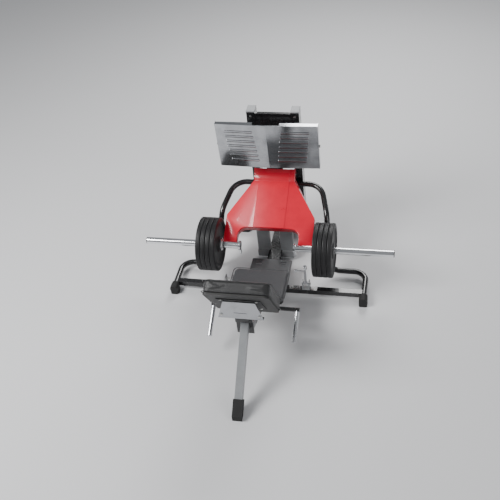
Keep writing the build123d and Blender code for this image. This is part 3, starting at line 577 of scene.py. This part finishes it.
bm = bmesh.new()
for side in (-1, 1):
    weld_ring(bm, bar + RIGHT * side * WELD_X, RIGHT)
finish_piece("sleeve_welds", bm, "lever", finishes["zinc"])

# %% [markdown]
# ## Upholstery
# A pad is foam on a board under stretched vinyl: nearly flat and crowned a little. Its block is
# remeshed evenly and blown up a few millimetres with cloth pressure, each point's travel is capped,
# and a welt is laid along the seams afterwards.

# %% Cloth helper
VOXEL = 6 * MM
SWELL = 5 * MM          # room left for the swelling, and the most that a point may move
PRESSURE = 4.0
LAST_FRAME = 20


def inflate(piece):
    """Swells a closed mesh with cloth pressure, and caps how far each point may move."""
    bpy.context.view_layer.objects.active = piece
    remesh = piece.modifiers.new("even", "REMESH")
    remesh.mode = "VOXEL"
    remesh.voxel_size = VOXEL
    with bpy.context.temp_override(object=piece, active_object=piece):
        bpy.ops.object.modifier_apply(modifier=remesh.name)
    rest = [vert.co.copy() for vert in piece.data.vertices]
    cloth = piece.modifiers.new("cloth", "CLOTH")
    cloth.settings.use_pressure = True
    cloth.settings.uniform_pressure_force = PRESSURE
    cloth.settings.effector_weights.gravity = 0.0
    cloth.settings.quality = 6
    cloth.settings.tension_stiffness = 30.0
    cloth.settings.bending_stiffness = 2.0
    for number in range(1, LAST_FRAME + 1):
        bpy.context.scene.frame_set(number)
    with bpy.context.temp_override(object=piece, active_object=piece):
        bpy.ops.object.modifier_apply(modifier=cloth.name)
    bpy.context.scene.frame_set(1)
    for vert, start in zip(piece.data.vertices, rest):
        move = vert.co - start
        if move.length > SWELL:
            vert.co = start + move.normalized() * SWELL
    print("inflated", piece.name, len(rest), "points")


# %% Pad helpers
SKIN = 1 * MM           # clearance between a cushion and its board
WELT_RADIUS = 2.6 * MM
WELT_PROUD = 0.4 * MM   # how far a welt's middle stands out from the pad's side


def stand(origin, across, along, inward):
    """A matrix whose columns are a pad's own axes."""
    turn = Matrix((across, along, inward)).transposed().to_4x4()
    return Matrix.Translation(origin) @ turn


def pad_block(place, half_x, half_y, thick, corner, crown):
    """A closed cushion block, its front face at z = 0 of place and its back at z = thick."""
    bm = bmesh.new()
    bmesh.ops.create_cube(bm, size=1.0)
    bmesh.ops.scale(bm, vec=(2 * half_x, 2 * half_y, thick), verts=bm.verts)
    bmesh.ops.translate(bm, vec=(0, 0, thick / 2), verts=bm.verts)
    upright = [e for e in bm.edges if abs((e.verts[0].co - e.verts[1].co).normalized().z) > 0.9]
    bmesh.ops.bevel(bm, geom=upright, offset=corner, segments=8, profile=0.5, affect="EDGES", material=-1)
    front = [e for e in bm.edges if all(v.co.z < 1e-6 for v in e.verts)]
    bmesh.ops.bevel(bm, geom=front, offset=crown, segments=5, profile=0.5, affect="EDGES", material=-1)
    bmesh.ops.transform(bm, matrix=place, verts=bm.verts)
    return bm


def cushion(name, node, place, size, corner, crown, body, slot):
    """A padded piece that stands for a CAD pad; size is half its width, half its length, its depth."""
    half_x, half_y, thick = size
    bm = pad_block(place @ Matrix.Translation((0, 0, SWELL)), half_x - SWELL, half_y - SWELL,
                   thick - SWELL - SKIN, corner, crown)
    piece = finish_piece(name, bm, body, finishes[slot], [node])
    inflate(piece)
    return piece


def welt(name, place, size, height, corner, body, slot):
    """A round piping along a pad's outline, at one height of the pad."""
    bm = bmesh.new()
    bmesh.ops.create_grid(bm, x_segments=1, y_segments=1, size=1.0)
    bmesh.ops.scale(bm, vec=(size[0] + WELT_PROUD, size[1] + WELT_PROUD, 1), verts=bm.verts)
    bmesh.ops.translate(bm, vec=(0, 0, height), verts=bm.verts)
    bmesh.ops.bevel(bm, geom=bm.verts[:], offset=corner, segments=8, profile=0.5, affect="VERTICES",
                    material=-1)
    loop = [vert.co.copy() for vert in max(bm.faces, key=lambda face: face.calc_area()).verts]
    bm.free()
    curve = bpy.data.curves.new(name, "CURVE")
    curve.dimensions = "3D"
    curve.bevel_depth = WELT_RADIUS
    curve.bevel_resolution = 3
    spline = curve.splines.new("POLY")
    spline.points.add(len(loop) - 1)
    for point, spot in zip(spline.points, loop):
        point.co = (*(place @ spot), 1.0)
    spline.use_cyclic_u = True
    maker = bpy.data.objects.new(name + "_line", curve)
    bpy.context.scene.collection.objects.link(maker)
    bpy.context.view_layer.update()
    mesh = bpy.data.meshes.new_from_object(maker.evaluated_get(bpy.context.evaluated_depsgraph_get()))
    bpy.data.objects.remove(maker)
    bm = bmesh.new()
    bm.from_mesh(mesh)
    bmesh.ops.remove_doubles(bm, verts=bm.verts, dist=1e-6)
    return finish_piece(name, bm, body, finishes[slot])


# %% Back pad
PAD_LEAN = radians(33.0)
PAD_FRONT_TOP = Vector((0, bar.y - 0.850, 0.850))
PAD_LENGTH, PAD_HALF, PAD_THICK = 0.478, 0.215, 0.086
PAD_CORNER = 36 * MM
pad_down = Vector((0, sin(PAD_LEAN), -cos(PAD_LEAN)))
pad_in = Vector((0, -cos(PAD_LEAN), -sin(PAD_LEAN)))
pad_place = stand(PAD_FRONT_TOP + pad_down * PAD_LENGTH / 2, RIGHT, pad_down, pad_in)
pad_size = (PAD_HALF, PAD_LENGTH / 2, PAD_THICK)
back_cushion = cushion("back_cushion", "back_pad", pad_place, pad_size, PAD_CORNER, 16 * MM, "back_pad",
                       "black_vinyl")
for label, height in (("front", 13 * MM), ("rear", PAD_THICK - 4 * MM)):
    welt("back_welt_" + label, pad_place, pad_size, height, PAD_CORNER, "back_pad", "black_vinyl")

# %% Seat pad
SEAT_CORNER = 34 * MM
SEAT_CROWN = 12 * MM    # also the depth of its welt
seat_low, seat_high = (Vector(corner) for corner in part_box("seat_pad"))
seat_mid = (seat_low + seat_high) / 2
seat_half = (seat_high - seat_low) / 2
seat_place = stand(Vector((seat_mid.x, seat_mid.y, seat_high.z)), RIGHT, Vector((0, -1, 0)),
                   Vector((0, 0, -1)))
seat_size = (seat_half.x, seat_half.y, 2 * seat_half.z)
seat_cushion = cushion("seat_cushion", "seat_pad", seat_place, seat_size, SEAT_CORNER, SEAT_CROWN, "frame",
                       "grey_vinyl")
welt("seat_welt", seat_place, seat_size, SEAT_CROWN, SEAT_CORNER, "frame", "grey_vinyl")

# %% Round off both cushions
for piece in (back_cushion, seat_cushion):
    smooth = piece.modifiers.new("smooth", "SUBSURF")
    smooth.levels = smooth.render_levels = 1
    print("smoothed", piece.name)

# %% [markdown]
# ## Floor, light and camera
# A pale floor and broad soft lights show paint and chrome without hard glints. The camera stands
# behind the back pad and above it, a little to the user's right, and is tipped slightly.

# %% Floor
FLOOR_HALF = 14.0
floor_mesh = bpy.data.meshes.new("floor")
bm = bmesh.new()
bmesh.ops.create_grid(bm, x_segments=1, y_segments=1, size=FLOOR_HALF)
bm.to_mesh(floor_mesh)
bm.free()
floor = bpy.data.objects.new("floor", floor_mesh)
bpy.context.scene.collection.objects.link(floor)
floor_finish, _, floor_shader = new_material("pale_floor", Roughness=0.6)
floor_shader.inputs["Base Color"].default_value = (0.72, 0.72, 0.73, 1.0)
floor_mesh.materials.append(floor_finish)
print("floor", 2 * FLOOR_HALF, "m across")


# %% Lights
AIM = Vector((0, 0, 0.5))


def soft_light(name, place, size, power):
    """A square lamp that faces the machine."""
    lamp = bpy.data.lights.new(name, "AREA")
    lamp.size = size
    lamp.energy = power
    holder = bpy.data.objects.new(name, lamp)
    holder.location = place
    holder.rotation_euler = (AIM - Vector(place)).to_track_quat("-Z", "Y").to_euler()
    bpy.context.scene.collection.objects.link(holder)
    print("light", name, power, "W")


soft_light("key", (-3.2, -1.6, 4.4), 2.2, 300)
soft_light("fill", (3.8, -3.0, 3.0), 3.0, 70)
soft_light("rim", (0.6, 4.0, 3.6), 2.2, 150)
world = bpy.data.worlds.new("studio")
bpy.context.scene.world = world
world.use_nodes = True
background = world.node_tree.nodes["Background"]
background.inputs["Color"].default_value = (0.80, 0.82, 0.85, 1.0)
background.inputs["Strength"].default_value = 0.32

# %% Camera
CAMERA_PLACE = (1.06, bar.y - 4.22, 4.18)
YAW, PITCH, ROLL = radians(15.73), radians(41.36), radians(-7.27)
forward = Vector((-sin(YAW) * cos(PITCH), cos(YAW) * cos(PITCH), -sin(PITCH)))
level_right = Vector((cos(YAW), sin(YAW), 0))
level_up = level_right.cross(forward)
right = level_right * cos(ROLL) + level_up * sin(ROLL)
up = level_up * cos(ROLL) - level_right * sin(ROLL)
lens = bpy.data.cameras.new("camera")
lens.sensor_width = 36.0
lens.lens = 58.0
camera = bpy.data.objects.new("camera", lens)
turn = Matrix((right, up, -forward)).transposed().to_4x4()
camera.matrix_world = Matrix.Translation(CAMERA_PLACE) @ turn
bpy.context.scene.collection.objects.link(camera)
bpy.context.scene.camera = camera
print("camera", lens.lens, "mm lens")
